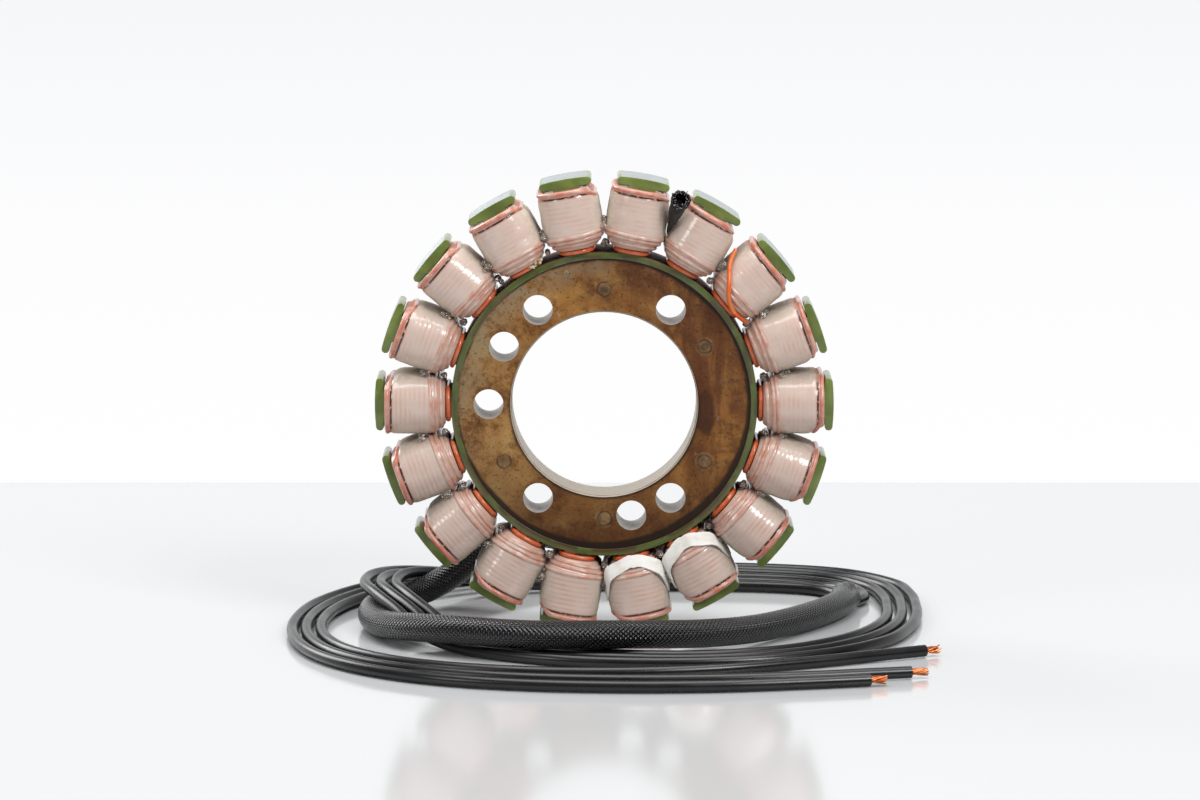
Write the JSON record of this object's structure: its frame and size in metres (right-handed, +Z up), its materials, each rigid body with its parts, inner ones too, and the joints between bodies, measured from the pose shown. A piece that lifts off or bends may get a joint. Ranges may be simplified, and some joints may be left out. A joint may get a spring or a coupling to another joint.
{
  "type": "wound stator",
  "caption": "Ring-shaped laminated core with radial teeth, each wound with varnished copper wire, and a sleeved lead harness lying round it.",
  "frame": {"origin": "on the table under the middle of the stator, which stands on two pole tips", "axes": "+Z up, Y along the stator's axis with the front face towards -Y, +X to the right seen from the front"},
  "size_m": [0.1517, 0.1592, 0.1068],
  "materials": {
    "core_steel": "varnished brown hub, ground pole faces",
    "green_epoxy": "glossy fluid-bed epoxy",
    "rivet_steel": "varnished, flush",
    "varnished_copper": "enamelled copper under clear varnish",
    "enamelled_copper": "enamelled copper wire",
    "braided_sleeve": "braided, varnished",
    "white_lacing": "flat woven tape",
    "lead_insulation": "semi-matte",
    "bare_copper": "bright bare strands"
  },
  "bodies": {
    "root": {"lamination_stack": "core_steel", "insulation_coat": "green_epoxy", "core_rivets": "rivet_steel", "coil_01": "varnished_copper", "coil_02": "varnished_copper", "coil_03": "varnished_copper", "coil_04": "varnished_copper", "coil_05": "varnished_copper", "coil_06": "varnished_copper", "coil_07": "varnished_copper", "coil_08": "varnished_copper", "coil_09": "varnished_copper", "coil_10": "varnished_copper", "coil_11": "varnished_copper", "coil_12": "varnished_copper", "coil_13": "varnished_copper", "coil_14": "varnished_copper", "coil_15": "varnished_copper", "coil_16": "varnished_copper", "coil_17": "varnished_copper", "coil_18": "varnished_copper", "crossover_a": "enamelled_copper", "crossover_b": "enamelled_copper", "crossover_c": "enamelled_copper", "phase_tail_a": "enamelled_copper", "phase_tail_b": "enamelled_copper", "phase_tail_c": "enamelled_copper", "star_joint": "enamelled_copper", "star_sleeve": "braided_sleeve", "jumper_wire": "enamelled_copper", "lacing_band_1": "white_lacing", "lacing_band_2": "white_lacing", "harness_sleeve": "braided_sleeve", "lead_a": "lead_insulation", "lead_b": "lead_insulation", "lead_c": "lead_insulation", "strands_a": "bare_copper", "strands_b": "bare_copper", "strands_c": "bare_copper"}
  },
  "joints": []
}
